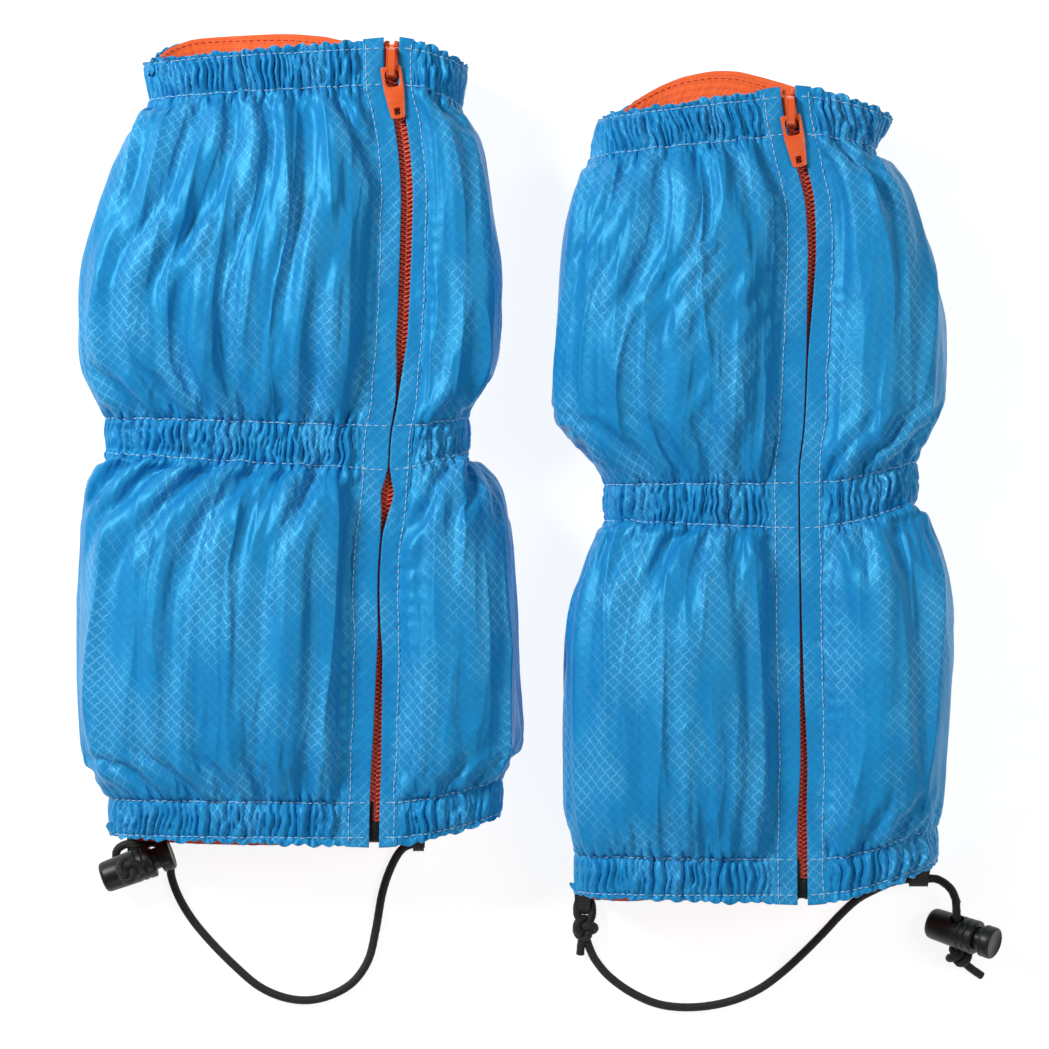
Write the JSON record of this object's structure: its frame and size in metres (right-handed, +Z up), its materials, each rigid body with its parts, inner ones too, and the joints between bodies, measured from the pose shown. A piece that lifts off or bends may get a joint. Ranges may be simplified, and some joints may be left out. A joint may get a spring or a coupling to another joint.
{
  "type": "gaiters",
  "caption": "Pair of lined ripstop hiking gaiters with elastic gathers, full-length front zips and instep cords with spring locks, lying flat.",
  "frame": {"origin": "centre of the pair's fabric outline, on the surface it lies on", "axes": "+X across the pair to the right, +Y towards the calf openings, +Z up from the surface, out of the zips"},
  "size_m": [0.4249, 0.4543, 0.0668],
  "materials": {
    "ripstop": "satin",
    "lining": "matte",
    "elastic": "matte",
    "zip_tape": "matte",
    "zip_coil": "satin",
    "zip_metal": "gloss",
    "stop_metal": "satin",
    "zip_plastic": "satin",
    "webbing": "matte",
    "cord": "matte",
    "lock_plastic": "satin",
    "spring_steel": "satin"
  },
  "bodies": {
    "left_gaiter": {"left_shell": "ripstop", "left_lining": "lining", "left_top_elastic": "elastic", "left_middle_elastic": "elastic", "left_hem_elastic": "elastic", "left_placket_pin_side": "ripstop", "left_placket_box_side": "ripstop", "left_zip_tape_pin_side": "zip_tape", "left_zip_tape_box_side": "zip_tape", "left_zip_coil_pin_side": "zip_coil", "left_zip_coil_box_side": "zip_coil", "left_top_stop_pin_side": "stop_metal", "left_top_stop_box_side": "stop_metal", "left_insertion_pin": "zip_plastic", "left_retainer_box": "zip_plastic", "left_webbing_loop_a": "webbing", "left_webbing_loop_b": "webbing", "left_instep_cord": "cord", "left_end_knot": "cord", "left_lock_barrel": "lock_plastic", "left_lock_spring": "spring_steel"},
    "left_slider": {"left_zip_slider": "zip_metal"},
    "left_pull": {"left_zip_pull": "zip_metal"},
    "left_plunger": {"left_lock_plunger": "lock_plastic"},
    "right_gaiter": {"right_shell": "ripstop", "right_lining": "lining", "right_top_elastic": "elastic", "right_middle_elastic": "elastic", "right_hem_elastic": "elastic", "right_placket_pin_side": "ripstop", "right_placket_box_side": "ripstop", "right_zip_tape_pin_side": "zip_tape", "right_zip_tape_box_side": "zip_tape", "right_zip_coil_pin_side": "zip_coil", "right_zip_coil_box_side": "zip_coil", "right_top_stop_pin_side": "stop_metal", "right_top_stop_box_side": "stop_metal", "right_insertion_pin": "zip_plastic", "right_retainer_box": "zip_plastic", "right_webbing_loop_a": "webbing", "right_webbing_loop_b": "webbing", "right_instep_cord": "cord", "right_end_knot": "cord", "right_anchor_knot": "cord"},
    "right_slider": {"right_zip_slider": "zip_metal"},
    "right_pull": {"right_zip_pull": "zip_metal"},
    "right_lock": {"right_lock_barrel": "lock_plastic", "right_lock_spring": "spring_steel"},
    "right_plunger": {"right_lock_plunger": "lock_plastic"}
  },
  "joints": [
    {"name": "pair_apart", "type": "slide", "parent": "left_gaiter", "child": "right_gaiter", "axis": [1, 0, 0], "range_m": [0, 0.25]},
    {"name": "left_zip_travel", "type": "slide", "parent": "left_gaiter", "child": "left_slider", "axis": [-0.0218, -0.9998, 0], "range_m": [0, 0.335]},
    {"name": "left_pull_swing", "type": "hinge", "parent": "left_slider", "child": "left_pull", "pos_m": [-0.05625, 0.1853, 0.05845], "axis": [-0.9884, -0.1521, 0], "range_deg": [0, 150]},
    {"name": "left_plunger_press", "type": "slide", "parent": "left_gaiter", "child": "left_plunger", "axis": [-0.9373, -0.3486, 0], "range_m": [0, 0.003], "stiffness_N_per_m": 2000, "deforming": ["left_lock_spring"]},
    {"name": "right_zip_travel", "type": "slide", "parent": "right_gaiter", "child": "right_slider", "axis": [0.0159, -0.9999, 0], "range_m": [0, 0.339]},
    {"name": "right_pull_swing", "type": "hinge", "parent": "right_slider", "child": "right_pull", "pos_m": [0.12446, 0.1633, 0.05845], "axis": [-0.9819, -0.1893, 0], "range_deg": [0, 150]},
    {"name": "right_lock_slide", "type": "slide", "parent": "right_gaiter", "child": "right_lock", "axis": [-0.1007, 0.8504, 0.5163], "range_m": [0, 0.008]},
    {"name": "right_plunger_press", "type": "slide", "parent": "right_lock", "child": "right_plunger", "axis": [-0.805, 0.2354, -0.5446], "range_m": [0, 0.003], "stiffness_N_per_m": 2000, "deforming": ["right_lock_spring"]}
  ]
}
